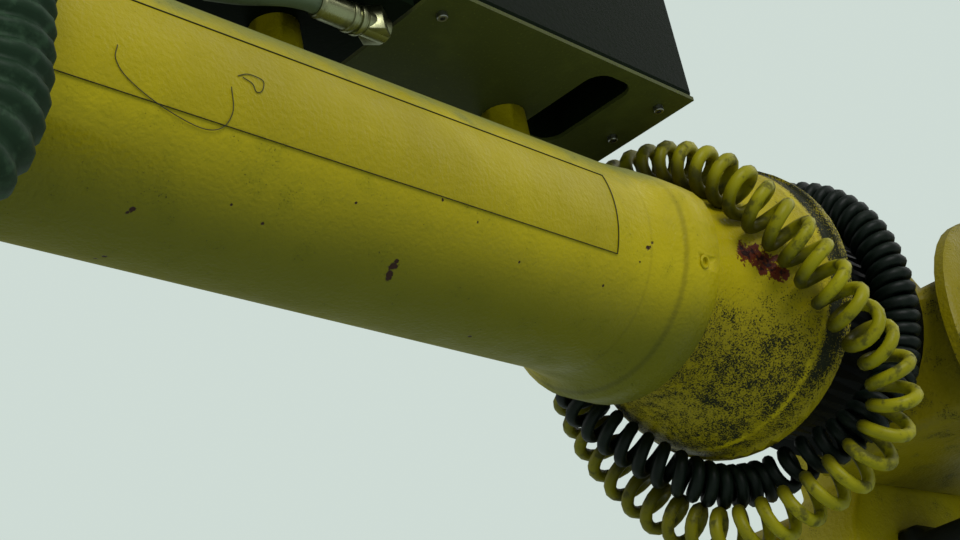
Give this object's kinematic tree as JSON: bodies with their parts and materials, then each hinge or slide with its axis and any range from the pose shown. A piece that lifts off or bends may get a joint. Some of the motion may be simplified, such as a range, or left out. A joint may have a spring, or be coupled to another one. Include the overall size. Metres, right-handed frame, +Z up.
{
  "type": "industrial robot arm",
  "caption": "Industrial robot arm: floor base, turret, upright lower arm and level round forearm with a flared neck, a box on posts above it and curly cords wrapped round its turning joint.",
  "frame": {"origin": "on the floor, on the axis that the turret turns about, at the underside of the floor plate", "axes": "+X from the base towards the wrist and tool flange, +Y to the side that the picture is taken from, +Z up"},
  "size_m": [2.2623, 0.6934, 2.2796],
  "materials": {
    "robot_yellow": "old gloss paint, grimy and chipped",
    "machine_black": "satin black paint, oily",
    "box_olive": "dark olive satin paint",
    "bare_steel": "dull machined steel",
    "black_cord": "satin black cord jacket",
    "yellow_cord": "glossy yellow cord jacket, dirty",
    "green_hose": "dark green ribbed hose, satin"
  },
  "bodies": {
    "base": {"floor_plate": "robot_yellow", "base_casting": "robot_yellow", "connector_box": "robot_yellow", "slew_ring": "machine_black", "turret_plate": "robot_yellow", "turret_casting": "robot_yellow", "turret_motor": "machine_black", "shoulder_motor": "machine_black", "shoulder_reducer": "bare_steel"},
    "lower_arm": {"lower_arm": "robot_yellow", "shoulder_hub_cover": "robot_yellow", "elbow_hub_cover": "robot_yellow"},
    "elbow": {"elbow_lug": "robot_yellow", "elbow_casing": "robot_yellow", "elbow_reducer": "bare_steel", "elbow_motor": "machine_black", "elbow_side_cover": "robot_yellow", "motor_plate": "robot_yellow", "wrist_motor_upper": "machine_black", "wrist_motor_left": "machine_black", "wrist_motor_right": "machine_black", "roll_housing": "machine_black"},
    "forearm": {"neck_flange": "robot_yellow", "forearm_tube": "robot_yellow", "box_post_rear": "robot_yellow", "box_post_front": "robot_yellow", "box_bottom_plate": "box_olive", "equipment_box": "box_olive", "box_lid": "box_olive", "bracket_plate": "box_olive", "fitting_nut": "bare_steel", "pipe_fitting": "bare_steel", "air_pipe": "green_hose", "wrist_housing": "robot_yellow", "wrist_cover_near": "robot_yellow", "wrist_cover_far": "robot_yellow", "wrist_unit": "robot_yellow", "wrist_nose": "robot_yellow", "tool_flange": "bare_steel", "yellow_curly_cord": "yellow_cord", "black_curly_cord": "black_cord", "wrist_hose": "green_hose", "cord_anchor": "machine_black", "black_cord_clamp": "machine_black", "hose_clamp_upper": "machine_black", "hose_clamp_lower": "machine_black"}
  },
  "joints": [
    {"name": "shoulder", "type": "hinge", "parent": "base", "child": "lower_arm", "pos_m": [0.312, -0.18, 0.67], "axis": [0, 1, 0], "range_deg": [-60, 76]},
    {"name": "elbow", "type": "hinge", "parent": "lower_arm", "child": "elbow", "pos_m": [0.312, -0.18, 1.745], "axis": [0, -1, 0], "range_deg": [-56, 170]},
    {"name": "roll", "type": "hinge", "parent": "elbow", "child": "forearm", "pos_m": [0.672, 0, 1.97], "axis": [1, 0, 0], "range_deg": [-360, 360]}
  ]
}
